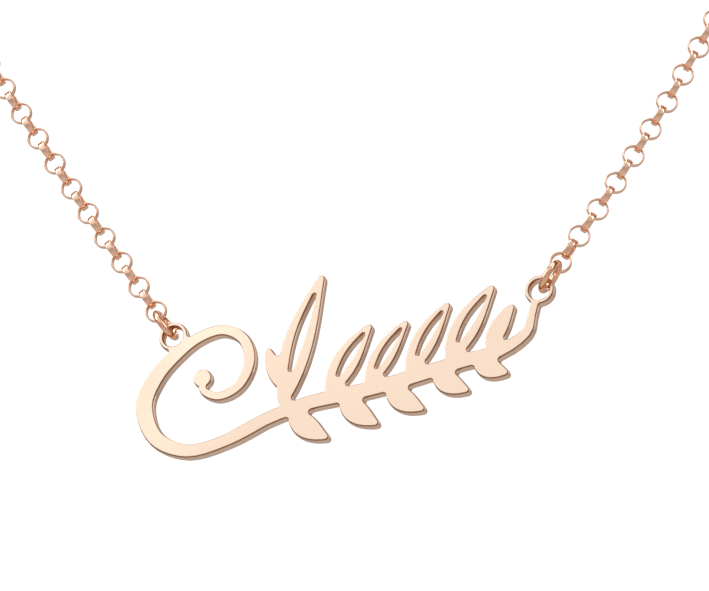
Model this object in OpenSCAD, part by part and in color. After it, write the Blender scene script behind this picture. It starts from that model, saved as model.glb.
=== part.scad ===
// Necklace with a flat pierced plate between two sides of a fine rolo chain.
// It is modelled as worn: +Z up, the wearer faces -Y, and the origin is at the nape.

/* [Plate] */
// Distance between the two eyelet centres
eyelet_span = 38.6; // [36:0.2:42]
// Height of the ornament, from its lowest leaf to the tip of the tall leaf
plate_h = 18; // [16:0.5:20]
// Thickness of the sheet
plate_t = 1.15; // [0.9:0.05:1.3]
// Half width of the stem where it is plain
stem_r = 1; // [0.8:0.05:1.2]
// Width of a leaf of full size
leaf_w = 3; // [2.6:0.1:3.3]
// Width of the slit that is cut along a leaf of full size
slit_w = 0.92; // [0.7:0.02:1]
// Radius in the inner corners of the outline
fillet_r = 0.25; // [0.15:0.05:0.35]
// Radius at the tips of the leaves
tip_r = 0.4; // [0.2:0.05:0.45]
// Radius of the round bud at the end of the scroll
bud_r = 1; // [0.8:0.05:1.2]
// Diameter of an eyelet's hole
eyelet_hole = 2.1; // [2:0.05:2.4]
// Width of the metal round an eyelet's hole
eyelet_rim = 0.5; // [0.4:0.05:0.6]

/* [Jump rings] */
// Diameter of the rings' wire
ring_wire = 0.7; // [0.6:0.05:0.75]
// Inner diameter of the rings
ring_inner = 2.35; // [2.1:0.05:2.5]

/* [Chain] */
// Inner diameter of a link
link_inner = 1.91; // [1.88:0.01:1.96]
// Thickness of a link's band, across its ring
link_t = 0.17; // [0.16:0.01:0.2]
// Width of a link's band
link_w = 0.64; // [0.5:0.02:0.66]
// Chamfer along the edges of the band
link_edge = 0.07; // [0.05:0.01:0.08]
// Longest step from one link to the next
link_pitch = 1.685; // [1.6:0.005:1.69]

/* [Clasp] */
// Diameter of the clasp's ring, measured at the middle of its tube
clasp_d = 4.8; // [4.4:0.1:6]
// Diameter of the clasp's tube
clasp_tube = 1.1; // [0.9:0.05:1.2]
// Hole of the clasp's small eye
clasp_eye = 1.1; // [1.1:0.05:1.3]
// Wire of the clasp's small eye and of the ring in it
eye_wire = 0.5; // [0.4:0.05:0.55]
// Inner diameter of the small ring that joins the clasp to the chain
clasp_ring_inner = 1.7; // [1.6:0.05:2]

/* [Neck] */
// Half of the width that the chain goes round
neck_w = 56; // [54:1:60]
// How far the plate lies in front of the nape
neck_reach = 93; // [86:1:96]
// How far the plate's eyelets hang below the nape
neck_drop = 112; // [105:1:114]

/* [Hidden] */
rose = [0.93, 0.72, 0.6];
rose_dark = [0.86, 0.6, 0.47];
// Room kept between pieces that hook into each other
slack = 0.25;
half_span = eyelet_span / 2;
hole_r = eyelet_hole / 2;
ring_r = (ring_inner + ring_wire) / 2;
clasp_ring_r = (clasp_ring_inner + eye_wire) / 2;
link_ri = link_inner / 2;
link_flat = link_w / 2 - link_edge;
// Where along its leaf a slit starts and ends, and its width at the ends as a share of slit_w
SLIT_FROM = 0.26;
SLIT_TO = 0.78;
SLIT_END = 0.3;
// Puts a leaf's widest place nearer to its root the smaller it is, and 1 puts it halfway
BELLY = 0.8;
// Half width that a leaf keeps at its root and tip before the outline is rounded
LEAF_END = 0.02;

// Curves through a few points
function knot(p, i) = p[max(0, min(len(p) - 1, i))];
function blend(a, b, c, d, t) =
    0.5 * (2 * b + (c - a) * t + (2 * a - 5 * b + 4 * c - d) * t * t
    + (3 * b - a - 3 * c + d) * t * t * t);
function curve(p, steps) = concat(
    [for (i = [0 : len(p) - 2]) for (k = [0 : steps - 1])
        blend(knot(p, i - 1), p[i], p[i + 1], knot(p, i + 2), k / steps)],
    [p[len(p) - 1]]);
function flat(v) = [v[0], v[1]];
function across(p, i) =
    let (d = flat(knot(p, i + 1)) - flat(knot(p, i - 1)))
    [-d[1], d[0]] / norm(d);
function outline(p) = concat(
    [for (i = [0 : len(p) - 1]) flat(p[i]) + across(p, i) * p[i][2]],
    [for (i = [len(p) - 1 : -1 : 0]) flat(p[i]) - across(p, i) * p[i][2]]);
function placed(rows, r) = [for (row = rows) [row[0] * half_span, row[1] * plate_h, row[2] * r]];

// Table of the scroll: x as a share of half the eyelets' distance, height as a share of
// plate_h, half width as a share of stem_r
SCROLL = [
    [-0.49, -0.57, 0.75],
    [-0.69, -0.66, 0.72],
    [-0.91, -0.7, 0.74],
    [-1.09, -0.6, 0.86],
    [-1.155, -0.4, 0.96],
    [-1.09, -0.23, 0.9],
    [-0.97, -0.105, 0.74],
    [-0.85, -0.025, 0.64],
    [-0.72, 0, 0.6],
    [-0.61, -0.07, 0.62],
    [-0.575, -0.205, 0.64],
    [-0.63, -0.34, 0.58],
    [-0.735, -0.395, 0.5],
    [-0.825, -0.355, 0.45],
    [-0.835, -0.275, 0.42]];
// Table of the stem, in the same columns
STEM = [
    [-0.69, -0.66, 0.72],
    [-0.49, -0.57, 0.75],
    [-0.27, -0.505, 0.8],
    [-0.06, -0.48, 0.85],
    [0.15, -0.455, 0.85],
    [0.36, -0.415, 0.85],
    [0.57, -0.37, 0.82],
    [0.78, -0.335, 0.75],
    [0.925, -0.25, 0.6],
    [0.958, -0.15, 0.48],
    [0.975, -0.08, 0.46]];
// Table of the leaves: root x and height, tip x and height, width as a share of leaf_w,
// sideways bend as a share of the leaf's length, and whether a slit is cut along it
LEAVES = [
    [-0.4, -0.54, -0.15, 0.315, 1.12, 0.06, 1],
    [-0.36, -0.43, -0.485, -0.1, 0.62, 0.1, 0],
    [-0.15, -0.49, 0.115, -0.05, 0.97, 0.08, 1],
    [0.06, -0.465, 0.315, -0.055, 0.85, 0.08, 1],
    [0.285, -0.43, 0.54, 0.025, 0.9, 0.08, 1],
    [0.5, -0.385, 0.78, 0.09, 1.02, 0.08, 1],
    [0.72, -0.345, 0.885, -0.04, 0.68, 0.1, 0],
    [-0.36, -0.53, -0.12, -0.735, 0.85, -0.14, 0],
    [-0.08, -0.48, 0.15, -0.69, 0.85, -0.14, 0],
    [0.17, -0.455, 0.4, -0.635, 0.83, -0.14, 0],
    [0.42, -0.4, 0.64, -0.555, 0.8, -0.14, 0],
    [0.64, -0.36, 0.85, -0.475, 0.76, -0.14, 0]];

function leaf_line(row, steps) =
    let (root = [row[0] * half_span, row[1] * plate_h],
        tip = [row[2] * half_span, row[3] * plate_h],
        d = tip - root,
        mid = (root + tip) / 2 + [-d[1], d[0]] * row[5])
    [for (k = [0 : steps]) let (t = k / steps)
        (1 - t) * (1 - t) * root + 2 * t * (1 - t) * mid + t * t * tip];
function swell(t) = sin(180 * pow(t, BELLY));
function leaf(row, steps) =
    let (line = leaf_line(row, steps))
    [for (k = [0 : steps]) [line[k][0], line[k][1],
        max(LEAF_END, leaf_w / 2 * row[4] * swell(k / steps))]];
function slit(row, steps) =
    let (line = leaf_line(row, steps))
    [for (k = [round(steps * SLIT_FROM) : round(steps * SLIT_TO)])
        let (t = max(0, min(1, (k / steps - SLIT_FROM) / (SLIT_TO - SLIT_FROM))))
        [line[k][0], line[k][1], slit_w / 2 * row[4] * (SLIT_END + (1 - SLIT_END) * sin(180 * t))]];

module stroke(p) {
    polygon(outline(p));
    translate(flat(p[0])) circle(p[0][2], $fn = 12);
    translate(flat(p[len(p) - 1])) circle(p[len(p) - 1][2], $fn = 12);
}
module ornament() {
    stroke(curve(placed(SCROLL, stem_r), 5));
    stroke(curve(placed(STEM, stem_r), 3));
    for (row = LEAVES) polygon(outline(leaf(row, 11)));
    translate(flat(knot(placed(SCROLL, stem_r), len(SCROLL)))) circle(bud_r, $fn = 24);
    for (side = [-1, 1]) translate([side * half_span, 0]) circle(hole_r + eyelet_rim, $fn = 32);
}
module plate_outline() {
    difference() {
        offset(r = tip_r, $fn = 16) offset(r = -tip_r, $fn = 16)
            offset(r = -fillet_r, $fn = 16) offset(r = fillet_r, $fn = 16) ornament();
        for (row = LEAVES) if (row[6]) stroke(slit(row, 14));
    }
}

module nameplate() {
    color(rose) translate([0, -neck_reach, -neck_drop]) rotate([90, 0, 0]) difference() {
        linear_extrude(plate_t, center = true) plate_outline();
        for (side = [-1, 1]) translate([side * half_span, 0, 0])
            cylinder(r = hole_r, h = 2 * plate_t, center = true, $fn = 64);
    }
}

// How far the middle of a jump ring lies from its eyelet's centre, and the first link from it
ring_out = hole_r + sqrt(pow(ring_inner / 2 - slack, 2) - pow(plate_t / 2, 2));
link_out = ring_out + reach_in(ring_inner / 2) + link_ri;
// The same at the clasp: the end ring hooks the clasp's tube, the small ring hooks its eye
end_ring_out = clasp_d / 2 + ring_inner / 2 - clasp_tube / 2 - slack;
end_link_out = end_ring_out + reach_in(ring_inner / 2) + link_ri;
eye_out = clasp_d / 2 + clasp_tube / 2 + clasp_eye / 2 + eye_wire / 2;
clasp_ring_out = eye_out + (clasp_eye + eye_wire) / 2 + clasp_ring_inner / 2 - eye_wire / 2 - slack;
clasp_link_out = clasp_ring_out + reach_in(clasp_ring_inner / 2) + link_ri;
// How far a link's band can lie from the middle of a hoop of inner radius r that holds it
function reach_in(r) = sqrt(pow(r - slack, 2) - pow(link_flat, 2));

// Routes of the two sides, from the plate up and round the neck: x as a share of neck_w,
// how far behind the plate as a share of neck_reach, height over the eyelets as a share of neck_drop
ROUTE_LEFT = [
    [-0.53, -0.016, 0.148],
    [-0.744, -0.036, 0.3325],
    [-0.9, 0.035, 0.507],
    [-0.98, 0.28, 0.7],
    [-0.965, 0.52, 0.825],
    [-0.84, 0.76, 0.925],
    [-0.56, 0.937, 0.985]];
ROUTE_RIGHT = [
    [0.539, 0.028, 0.153],
    [0.75, 0.066, 0.356],
    [0.895, 0.145, 0.536],
    [1, 0.3, 0.7],
    [0.985, 0.53, 0.83],
    [0.85, 0.77, 0.93],
    [0.56, 0.945, 0.985]];
// How far the links of each side are twisted about the chain, above the plate
TURN_LEFT = 3;
TURN_RIGHT = 28;

// The last stretch, on each side of the clasp: how long it is, and how far it falls behind and below
NAPE_RUN = [9, 0.45, 0.1];
function route(rows, side, end_out) = curve(concat(
    [[side * half_span, -neck_reach, -neck_drop]],
    [for (row = rows) [row[0] * neck_w, (row[1] - 1) * neck_reach, (row[2] - 1) * neck_drop]],
    [[side * (end_out + NAPE_RUN[0]), -NAPE_RUN[1], -NAPE_RUN[2]], [side * end_out, 0, 0]]),
    steps = 24);
function lengths(p) = [for (i = 0, s = 0; i < len(p); i = i + 1,
    s = s + (i < len(p) ? norm(p[i] - p[i - 1]) : 0)) s];
function column(keys, p, k) = [for (i = [0 : len(p) - 1]) [keys[i], p[i][k]]];
// A route made ready to be read by length: its total length and a table for each coordinate
function measured(p) = let (s = lengths(p))
    [s[len(s) - 1], column(s, p, 0), column(s, p, 1), column(s, p, 2)];
function point_at(m, s) = [lookup(s, m[1]), lookup(s, m[2]), lookup(s, m[3])];
function along(m, s) = unit(point_at(m, s + link_ri) - point_at(m, s - link_ri));
function unit(v) = v / norm(v);
function smooth(t) = let (c = max(0, min(1, t))) c * c * (3 - 2 * c);
// Direction that the flat links face. Over the first TWIST_RUN they twist out of the plate's plane,
// and from the share TURN_FROM of the route to TURN_TO they turn round to face backwards.
TWIST_RUN = 8;
TURN_FROM = 0.2;
TURN_TO = 0.95;
function facing(m, side, turn, s) =
    let (twist = turn * smooth(s / TWIST_RUN),
        a = twist + (180 - turn) * smooth((s / m[0] - TURN_FROM) / (TURN_TO - TURN_FROM)))
    [side * sin(a), -cos(a), 0];

LEFT = measured(route(ROUTE_LEFT, -1, end_link_out));
RIGHT = measured(route(ROUTE_RIGHT, 1, clasp_link_out));

// Stands a shape with its z axis along n and its y axis as near as can be to t
module stand(p, n, t) {
    z = unit(n);
    y = unit(t - (t * z) * z);
    x = cross(y, z);
    multmatrix([[x[0], y[0], z[0], p[0]], [x[1], y[1], z[1], p[1]], [x[2], y[2], z[2], p[2]],
        [0, 0, 0, 1]]) children();
}
module hoop(r, wire) {
    rotate_extrude($fn = 48) translate([r, 0]) circle(wire / 2, $fn = 24);
}
module link() {
    ro = link_ri + link_t;
    e = link_edge;
    h = link_w / 2;
    rotate_extrude($fn = 32) polygon([[link_ri + e, -h], [ro - e, -h], [ro, e - h], [ro, h - e],
        [ro - e, h], [link_ri + e, h], [link_ri, h - e], [link_ri, e - h]]);
}
// Every second link faces forward, the first and the last among them, and the others stand edge on
module link_at(m, side, turn, s, edge_on) {
    t = along(m, s);
    face = facing(m, side, turn, s);
    n = unit(face - (face * t) * t);
    stand(point_at(m, s), edge_on ? cross(t, n) : n, t) link();
}
module chain(m, side, turn) {
    steps = 2 * ceil((m[0] - link_out) / link_pitch / 2);
    for (i = [0 : steps])
        link_at(m, side, turn, link_out + (m[0] - link_out) * i / steps, i % 2 == 1);
}
module chain_left() { color(rose_dark) chain(LEFT, -1, TURN_LEFT); }
module chain_right() { color(rose_dark) chain(RIGHT, 1, TURN_RIGHT); }

// A jump ring lies along the chain's pull and across the plate's thickness, turned a little
// about the pull
RING_TURN_LEFT = -6;
RING_TURN_RIGHT = 11;
// How much of the chain's lean out of the plate's plane its jump ring takes on
RING_LEAN = 0.5;
module jump_ring(m, turn) {
    t = along(m, link_out);
    n = unit(cross([0, 1, 0], t));
    stand(point_at(m, 0) + ring_out * unit([t[0], RING_LEAN * t[1], t[2]]),
        cos(turn) * n + sin(turn) * cross(t, n), t)
        hoop(ring_r, ring_wire);
}
module jump_ring_left() { color(rose_dark) jump_ring(LEFT, RING_TURN_LEFT); }
module jump_ring_right() { color(rose_dark) jump_ring(RIGHT, RING_TURN_RIGHT); }
module end_ring() {
    color(rose_dark) translate([-end_ring_out, 0, 0]) hoop(ring_r, ring_wire);
}
module clasp_ring() {
    color(rose_dark) translate([clasp_ring_out, 0, 0]) hoop(clasp_ring_r, eye_wire);
}
// A spring ring, closed: the round tube, the fixed eye and the knob of its slide
knob_d = clasp_tube * 0.6;
knob_h = clasp_tube * 1.1;
module clasp() {
    color(rose) {
        rotate([90, 0, 0]) hoop(clasp_d / 2, clasp_tube);
        translate([eye_out, 0, 0]) rotate([90, 0, 0]) hoop((clasp_eye + eye_wire) / 2, eye_wire);
        translate([0, 0, clasp_d / 2]) cylinder(d = knob_d, h = knob_h, $fn = 24);
    }
}

nameplate();
jump_ring_left();
jump_ring_right();
chain_left();
chain_right();
end_ring();
clasp();
clasp_ring();
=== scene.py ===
# Dresses the necklace: smooth links, a plate with softened edges, polished rose gold, and soft studio light
import math

import bmesh
import bpy
import numpy as np
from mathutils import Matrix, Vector
from mathutils.geometry import tessellate_polygon


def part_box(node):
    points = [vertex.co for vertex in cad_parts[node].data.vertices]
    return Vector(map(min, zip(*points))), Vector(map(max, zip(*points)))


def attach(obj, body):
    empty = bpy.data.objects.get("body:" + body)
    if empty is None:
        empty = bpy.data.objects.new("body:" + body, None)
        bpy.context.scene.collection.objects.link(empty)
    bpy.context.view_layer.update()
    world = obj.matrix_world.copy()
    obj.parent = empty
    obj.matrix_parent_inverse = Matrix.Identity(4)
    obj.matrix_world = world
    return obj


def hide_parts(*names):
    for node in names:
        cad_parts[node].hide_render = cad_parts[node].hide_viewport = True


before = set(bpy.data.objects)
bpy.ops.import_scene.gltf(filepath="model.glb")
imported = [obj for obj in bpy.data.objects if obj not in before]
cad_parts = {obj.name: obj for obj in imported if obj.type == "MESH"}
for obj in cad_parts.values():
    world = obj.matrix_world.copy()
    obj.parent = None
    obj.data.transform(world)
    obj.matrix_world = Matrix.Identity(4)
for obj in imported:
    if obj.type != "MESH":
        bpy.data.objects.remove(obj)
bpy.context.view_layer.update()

MM = 0.001
scene = bpy.context.scene

# Camera: towards the wearer's left and below the plate, looking up at it. Angles are in degrees, and the
# aim is how far it looks past the plate's centre.
AZIMUTH = 18.6
ELEVATION = -22.6
DISTANCE = 0.7
LENS = 355.4
PLATE_CENTRE = Vector((0, -93, -112)) * MM
AIM_RIGHT = -0.17 * MM
AIM_UP = 1.94 * MM

# Look of the metal
PLATE_COLOUR = (0.93, 0.735, 0.585)
LINK_COLOUR = (0.92, 0.61, 0.45)
RING_COLOUR = (0.92, 0.54, 0.36)
# Painted shade: the plate's soft front edge darkens to this colour as a dark line, and its walls and back
# take a little of it
PAINTED_SHADE_COLOUR = (0.32, 0.15, 0.085)
# How many steps of the soft edge reach that painted shade, and how much of it the plate's walls take on
PAINTED_SHADE_STEPS = 2
WALL_PAINTED_SHADE = 0.15
PLATE_ROUGH = 0.15
WIRE_ROUGH = 0.1
# Roughness where the metal is brightest and where it is dullest, as a share of the roughness above
ROUGH_LEAST = 0.8
ROUGH_MOST = 1.25
# Marks in the metal: how many there are along a metre, and how high the waves of polishing stand
DRIFT_SCALE = 260
PLATE_GRAIN = 900
WIRE_GRAIN = 1400
GRAIN_DEPTH = 0.02 * MM
GRAIN_SHARE = 0.12
WAVE_SCALE = 60
WAVE_DEPTH = 0.3 * MM

# Light of the room. Each row is a direction's share towards the back (-1 is the front) and a colour
ROOM = [(-1, (0.49, 0.486, 0.482)), (-0.3, (0.46, 0.45, 0.445)), (0, (0.14, 0.09, 0.065)),
        (0.4, (0.05, 0.028, 0.018)), (0.58, (0.4, 0.34, 0.3)), (0.68, (0.95, 0.9, 0.87)),
        (0.82, (0.3, 0.255, 0.235)), (1, (0.34, 0.29, 0.265))]
# How bright the room is straight below and straight above, as a share of its colours
ROOM_LOW = 0.6
ROOM_HIGH = 1.9
# How bright the backdrop is behind the necklace
BACKDROP = 1.1
# The floor, far below the necklace
FLOOR_COLOUR = (0.92, 0.9, 0.88)
FLOOR_ROUGH = 0.9
FLOOR_HEIGHT = -1.3
FLOOR_SIZE = 60

# Lamps: where each stands from the plate, in metres, its two sides, its watts and its colour
LAMPS = {
    "key": ((-0.45, -1.16, 0.56), (1.3, 1.3), 1.45, (1, 0.985, 0.965)),
    "glint": ((-0.53, -1.12, 0.66), (0.22, 0.3), 0.09, (1, 1, 1)),
    "left": ((-0.97, -0.58, 0.65), (0.45, 0.9), 5, (1, 1, 1)),
    "right": ((1.05, -0.46, 0.59), (0.3, 0.9), 2.5, (1, 1, 1)),
    "top": ((-0.13, -0.26, 1.26), (0.6, 0.6), 4.5, (1, 1, 1))}

# The dressed plate: radius of its soft edges, the angle through which its full walls turn, the steps of
# both, and the longest step along its outline
EDGE = 0.12 * MM
EDGE_STEPS = 4
WALL_FULL = math.radians(12)
WALL_STEPS = 4
OUTLINE_STEP = 0.16 * MM
# The dressed links: inner radius, thickness and width of the band, steps round the link and round its band,
# and how square the band's corners are, where 1 is an ellipse and less is squarer
LINK_IN = 0.92 * MM
LINK_THICK = 0.2 * MM
LINK_WIDE = 0.66 * MM
LINK_SIDES = 40
BAND_POINTS = 16
BAND_CORNER = 0.6
# Vertices nearer than this are one, and a face this near to the front belongs to it
WELD = 0.002 * MM
FRONT_DEPTH = 0.01 * MM


def make_camera():
    a, e = math.radians(AZIMUTH), math.radians(ELEVATION)
    back = Vector((math.sin(a) * math.cos(e), -math.cos(a) * math.cos(e), math.sin(e)))
    turn = (-back).to_track_quat("-Z", "Y")
    right, up = turn @ Vector((1, 0, 0)), turn @ Vector((0, 1, 0))
    data = bpy.data.cameras.new("camera")
    data.lens = LENS
    data.sensor_width = 36
    data.clip_start = 0.01
    data.clip_end = 100
    camera = bpy.data.objects.new("camera", data)
    camera.rotation_mode = "QUATERNION"
    camera.rotation_quaternion = turn
    camera.location = PLATE_CENTRE + right * AIM_RIGHT + up * AIM_UP + back * DISTANCE
    scene.collection.objects.link(camera)
    scene.camera = camera


def rose_gold(name, colour, rough, grain):
    """Polished metal, with a roughness that drifts a little and a fine grain."""
    mat = bpy.data.materials.new(name)
    mat.use_nodes = True
    nodes, links = mat.node_tree.nodes, mat.node_tree.links
    shader = nodes["Principled BSDF"]
    shader.inputs["Base Color"].default_value = (*colour, 1)
    shader.inputs["Metallic"].default_value = 1
    place = nodes.new("ShaderNodeTexCoord")
    drift = nodes.new("ShaderNodeTexNoise")
    drift.inputs["Scale"].default_value = DRIFT_SCALE
    drift.inputs["Detail"].default_value = 3
    spread = nodes.new("ShaderNodeMapRange")
    spread.inputs["To Min"].default_value = rough * ROUGH_LEAST
    spread.inputs["To Max"].default_value = rough * ROUGH_MOST
    waves = nodes.new("ShaderNodeTexNoise")
    waves.inputs["Scale"].default_value = grain
    waves.inputs["Detail"].default_value = 1
    bump = nodes.new("ShaderNodeBump")
    bump.inputs["Strength"].default_value = GRAIN_SHARE
    bump.inputs["Distance"].default_value = GRAIN_DEPTH
    links.new(place.outputs["Object"], drift.inputs["Vector"])
    links.new(place.outputs["Object"], waves.inputs["Vector"])
    links.new(drift.outputs["Fac"], spread.inputs["Value"])
    links.new(spread.outputs["Result"], shader.inputs["Roughness"])
    links.new(waves.outputs["Fac"], bump.inputs["Height"])
    links.new(bump.outputs["Normal"], shader.inputs["Normal"])
    return mat


def plate_gold():
    """The plate's metal: it has broad waves under its grain, and where its mesh carries the painted shade
    value it darkens towards the painted shade colour, along its soft front edge and its walls."""
    mat = rose_gold("rose_gold_plate", PLATE_COLOUR, PLATE_ROUGH, PLATE_GRAIN)
    nodes, links = mat.node_tree.nodes, mat.node_tree.links
    shader = nodes["Principled BSDF"]
    # Painted shade: the mesh's shade value mixes the metal towards the painted shade colour
    cut = nodes.new("ShaderNodeAttribute")
    cut.attribute_name = "cut"
    tint = nodes.new("ShaderNodeMix")
    tint.data_type = "RGBA"
    tint.inputs["A"].default_value = (*PLATE_COLOUR, 1)
    tint.inputs["B"].default_value = (*PAINTED_SHADE_COLOUR, 1)
    place = nodes.new("ShaderNodeTexCoord")
    broad = nodes.new("ShaderNodeTexNoise")
    broad.inputs["Scale"].default_value = WAVE_SCALE
    broad.inputs["Detail"].default_value = 0
    swell = nodes.new("ShaderNodeBump")
    swell.inputs["Strength"].default_value = 1
    swell.inputs["Distance"].default_value = WAVE_DEPTH
    links.new(cut.outputs["Fac"], tint.inputs["Factor"])
    links.new(tint.outputs["Result"], shader.inputs["Base Color"])
    links.new(place.outputs["Object"], broad.inputs["Vector"])
    links.new(broad.outputs["Fac"], swell.inputs["Height"])
    links.new(shader.inputs["Normal"].links[0].from_socket, swell.inputs["Normal"])
    links.new(swell.outputs["Normal"], shader.inputs["Normal"])
    return mat


def welded(node):
    """A CAD node's vertices and faces, with the vertices that lie on each other made one."""
    bm = bmesh.new()
    bm.from_mesh(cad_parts[node].data)
    bmesh.ops.remove_doubles(bm, verts=bm.verts, dist=WELD)
    return bm


def piece(name, body, node, mat, verts, faces):
    """A smooth object that takes the place of a CAD node and rides on its body."""
    mesh = bpy.data.meshes.new(name)
    mesh.from_pydata([tuple(v) for v in verts], [], faces)
    mesh.validate()
    mesh.materials.append(mat)
    mesh.shade_smooth()
    obj = bpy.data.objects.new(name, mesh)
    scene.collection.objects.link(obj)
    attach(obj, body)
    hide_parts(node)
    return obj


def loose_parts(bm):
    """The vertex positions of each separate solid in a mesh."""
    seen, parts = set(), []
    for start in bm.verts:
        if start in seen:
            continue
        stack, part = [start], []
        seen.add(start)
        while stack:
            v = stack.pop()
            part.append(v.co[:])
            for e in v.link_edges:
                w = e.other_vert(v)
                if w not in seen:
                    seen.add(w)
                    stack.append(w)
        parts.append(np.array(part))
    return parts


def band_profile():
    """Section of a link's band, as radius and height: a rectangle with soft corners and full sides."""
    points = []
    for k in range(BAND_POINTS):
        a = 2 * math.pi * (k + 0.5) / BAND_POINTS
        out = math.copysign(abs(math.cos(a)) ** BAND_CORNER, math.cos(a))
        up = math.copysign(abs(math.sin(a)) ** BAND_CORNER, math.sin(a))
        points.append((LINK_IN + LINK_THICK * (1 + out) / 2, LINK_WIDE / 2 * up))
    return np.array(points)


def dress_chain(node, body, mat):
    """A chain's links made again, each one where a solid of the node lies, with rounder bands."""
    bm = welded(node)
    parts = loose_parts(bm)
    bm.free()
    section = band_profile()
    n = len(section)
    angles = np.arange(LINK_SIDES) * 2 * math.pi / LINK_SIDES
    verts, faces = [], []
    for part in parts:
        centre = part.mean(0)
        rows = np.linalg.svd(part - centre, full_matrices=False)[2]
        x, y, z = rows[0], np.cross(rows[2], rows[0]), rows[2]
        first = len(verts)
        for a in angles:
            out = x * math.cos(a) + y * math.sin(a)
            verts.extend(centre + out * r + z * h for r, h in section)
        for i in range(LINK_SIDES):
            p, q = first + i * n, first + (i + 1) % LINK_SIDES * n
            faces.extend((p + k, q + k, q + (k + 1) % n, p + (k + 1) % n) for k in range(n))
    obj = piece(node + "_links", body, node, mat, verts, faces)
    turn_out(obj)
    return obj


def turn_out(obj):
    """Makes every face look outwards."""
    bm = bmesh.new()
    bm.from_mesh(obj.data)
    bmesh.ops.recalc_face_normals(bm, faces=bm.faces)
    bm.to_mesh(obj.data)
    bm.free()


def cap_loops(bm, front):
    """The closed outlines of the plate's front face, in order, as points of x and z."""
    cap = {f for f in bm.faces if f.calc_center_median().y < front + FRONT_DEPTH}
    following = {}
    for f in cap:
        for loop in f.loops:
            if not any(g in cap for g in loop.edge.link_faces if g is not f):
                following[loop.vert] = loop.link_loop_next.vert
    loops = []
    while following:
        start, v = next(iter(following.items()))
        del following[start]
        loop = [start]
        while v is not start:
            loop.append(v)
            v = following.pop(v)
        loops.append(np.array([(p.co.x, p.co.z) for p in loop]))
    return loops


def refined(loop):
    """A smooth closed curve through an outline's points, with none of its steps much over OUTLINE_STEP."""
    out = []
    count = len(loop)
    for i in range(count):
        a, b, c, d = (loop[(i + k) % count] for k in (-1, 0, 1, 2))
        t0 = 0
        t1 = t0 + np.linalg.norm(b - a) ** 0.5
        t2 = t1 + np.linalg.norm(c - b) ** 0.5
        t3 = t2 + np.linalg.norm(d - c) ** 0.5
        steps = max(1, math.ceil(np.linalg.norm(c - b) / OUTLINE_STEP))
        for k in range(steps):
            t = t1 + (t2 - t1) * k / steps
            ab = a * (t1 - t) / (t1 - t0) + b * (t - t0) / (t1 - t0)
            bc = b * (t2 - t) / (t2 - t1) + c * (t - t1) / (t2 - t1)
            cd = c * (t3 - t) / (t3 - t2) + d * (t - t2) / (t3 - t2)
            abc = ab * (t2 - t) / (t2 - t0) + bc * (t - t0) / (t2 - t0)
            bcd = bc * (t3 - t) / (t3 - t1) + cd * (t - t1) / (t3 - t1)
            out.append(abc * (t2 - t) / (t2 - t1) + bcd * (t - t1) / (t2 - t1))
    return np.array(out)


def inward(loop):
    """Unit directions from an outline's points into the metal, which lies on its left."""
    along = np.roll(loop, -1, 0) - np.roll(loop, 1, 0)
    along /= np.linalg.norm(along, axis=1)[:, None]
    return np.stack([-along[:, 1], along[:, 0]], 1)


def dress_plate(mat):
    """The plate made again from its outline. Each row of points round a wall has the angle that it faces,
    its depth in from the outline, its place across the sheet and its share of the painted shade."""
    low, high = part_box("nameplate")
    bm = welded("nameplate")
    loops = [refined(loop) for loop in cap_loops(bm, low.y)]
    bm.free()
    areas = [0.5 * np.sum(p[:, 0] * np.roll(p[:, 1], -1) - np.roll(p[:, 0], -1) * p[:, 1]) for p in loops]
    if areas[int(np.argmax(np.abs(areas)))] < 0:
        loops = [loop[::-1] for loop in loops]
    half = (high.y - low.y) / 2
    turned = math.pi / 2 - WALL_FULL
    wall_r = (half - EDGE * (1 - math.cos(turned))) / math.cos(turned)
    rows = []
    # Painted shade: it grows over the first steps of the soft front edge to full, stays full to the wall's
    # first row, and the rest of the walls and the back take a little of it
    for k in range(EDGE_STEPS):
        a = turned * k / EDGE_STEPS
        depth = wall_r * (1 - math.sin(turned)) + EDGE * (math.sin(turned) - math.sin(a))
        rows.append((a, depth, low.y + EDGE * (1 - math.cos(a)), min(1, k / PAINTED_SHADE_STEPS)))
    for k in range(WALL_STEPS):
        a = turned + WALL_FULL * k / WALL_STEPS
        shade = 1 if k == 0 else WALL_PAINTED_SHADE
        rows.append((a, wall_r * (1 - math.sin(a)), low.y + half - wall_r * math.cos(a), shade))
    rows.append((math.pi / 2, 0, low.y + half, WALL_PAINTED_SHADE))
    rows += [(math.pi - a, depth, low.y + high.y - y, WALL_PAINTED_SHADE) for a, depth, y, _ in rows[-2::-1]]
    verts, faces, normals, cut, rims = [], [], [], [], ([], [])
    for loop in loops:
        into = inward(loop)
        count = len(loop)
        starts = []
        for a, depth, y, shade in rows:
            starts.append(len(verts))
            verts.extend((x, y, z) for x, z in loop + into * depth)
            normals.extend((-x * math.sin(a), -math.cos(a), -z * math.sin(a)) for x, z in into)
            cut.extend([shade] * count)
        for p, q in zip(starts, starts[1:]):
            faces.extend((p + i, q + i, q + (i + 1) % count, p + (i + 1) % count) for i in range(count))
        rims[0].append([starts[0] + i for i in range(count)])
        rims[1].append([starts[-1] + i for i in range(count)])
    for rim in rims:
        flat = [i for ring in rim for i in ring]
        polygons = [[Vector((verts[i][0], verts[i][2], 0)) for i in ring] for ring in rim]
        faces.extend(tuple(flat[k] for k in triangle) for triangle in tessellate_polygon(polygons))
    obj = piece("nameplate_polished", "plate", "nameplate", mat, verts, faces)
    turn_out(obj)
    obj.data.attributes.new("cut", "FLOAT", "POINT").data.foreach_set("value", cut)
    obj.data.normals_split_custom_set_from_vertices(normals)


def dress_rings(mat):
    for name in ("jump_ring_left", "jump_ring_right", "end_ring", "clasp", "clasp_ring"):
        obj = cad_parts[name]
        obj.data.materials.clear()
        obj.data.materials.append(mat)


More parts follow.
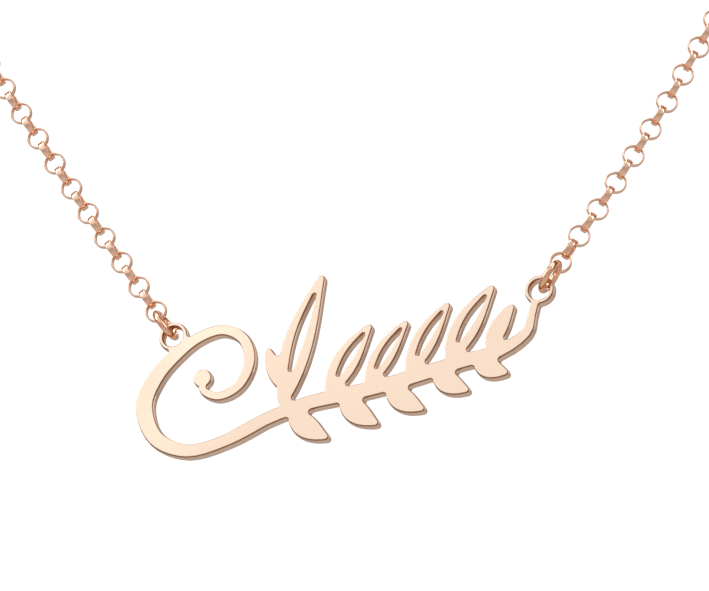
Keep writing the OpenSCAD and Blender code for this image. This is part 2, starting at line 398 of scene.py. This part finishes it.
def lamp(name, place, sides, watts, colour):
    """A soft rectangular light that faces the plate."""
    data = bpy.data.lights.new(name, "AREA")
    data.shape = "RECTANGLE"
    data.size, data.size_y = sides
    data.energy = watts
    data.color = colour
    obj = bpy.data.objects.new(name, data)
    obj.location = PLATE_CENTRE + Vector(place)
    obj.rotation_mode = "QUATERNION"
    obj.rotation_quaternion = (-Vector(place)).to_track_quat("-Z", "Y")
    scene.collection.objects.link(obj)


def make_studio():
    world = bpy.data.worlds.new("studio")
    world.use_nodes = True
    scene.world = world
    nodes, links = world.node_tree.nodes, world.node_tree.links
    nodes.clear()
    coords = nodes.new("ShaderNodeTexCoord")
    split = nodes.new("ShaderNodeSeparateXYZ")
    share = nodes.new("ShaderNodeMapRange")
    share.inputs["From Min"].default_value = -1
    height = nodes.new("ShaderNodeMapRange")
    height.inputs["From Min"].default_value = -1
    height.inputs["To Min"].default_value = ROOM_LOW
    height.inputs["To Max"].default_value = ROOM_HIGH
    ramp = nodes.new("ShaderNodeValToRGB")
    stops = ramp.color_ramp.elements
    while len(stops) < len(ROOM):
        stops.new(0.5)
    for stop, (towards, colour) in zip(stops, ROOM):
        stop.position = (towards + 1) / 2
        stop.color = (*colour, 1)
    room = nodes.new("ShaderNodeBackground")
    white = nodes.new("ShaderNodeBackground")
    white.inputs["Color"].default_value = (1, 1, 1, 1)
    white.inputs["Strength"].default_value = BACKDROP
    path = nodes.new("ShaderNodeLightPath")
    mix = nodes.new("ShaderNodeMixShader")
    out = nodes.new("ShaderNodeOutputWorld")
    links.new(coords.outputs["Generated"], split.inputs["Vector"])
    links.new(split.outputs["Y"], share.inputs["Value"])
    links.new(split.outputs["Z"], height.inputs["Value"])
    links.new(share.outputs["Result"], ramp.inputs["Fac"])
    links.new(height.outputs["Result"], room.inputs["Strength"])
    links.new(ramp.outputs["Color"], room.inputs["Color"])
    links.new(path.outputs["Is Camera Ray"], mix.inputs["Fac"])
    links.new(room.outputs["Background"], mix.inputs[1])
    links.new(white.outputs["Background"], mix.inputs[2])
    links.new(mix.outputs["Shader"], out.inputs["Surface"])
    for name, (place, sides, watts, colour) in LAMPS.items():
        lamp(name, place, sides, watts, colour)
    bpy.ops.mesh.primitive_plane_add(size=FLOOR_SIZE, location=(0, 0, FLOOR_HEIGHT))
    floor = bpy.context.object
    floor.name = "floor"
    mat = bpy.data.materials.new("floor")
    mat.use_nodes = True
    mat.node_tree.nodes["Principled BSDF"].inputs["Base Color"].default_value = (*FLOOR_COLOUR, 1)
    mat.node_tree.nodes["Principled BSDF"].inputs["Roughness"].default_value = FLOOR_ROUGH
    floor.data.materials.append(mat)
    scene.view_settings.view_transform = "Standard"


make_camera()
plate_metal = plate_gold()
link_metal = rose_gold("rose_gold_links", LINK_COLOUR, WIRE_ROUGH, WIRE_GRAIN)
ring_metal = rose_gold("rose_gold_rings", RING_COLOUR, WIRE_ROUGH, WIRE_GRAIN)
dress_plate(plate_metal)
dress_chain("chain_left", "chain", link_metal)
dress_chain("chain_right", "chain", link_metal)
dress_rings(ring_metal)
make_studio()
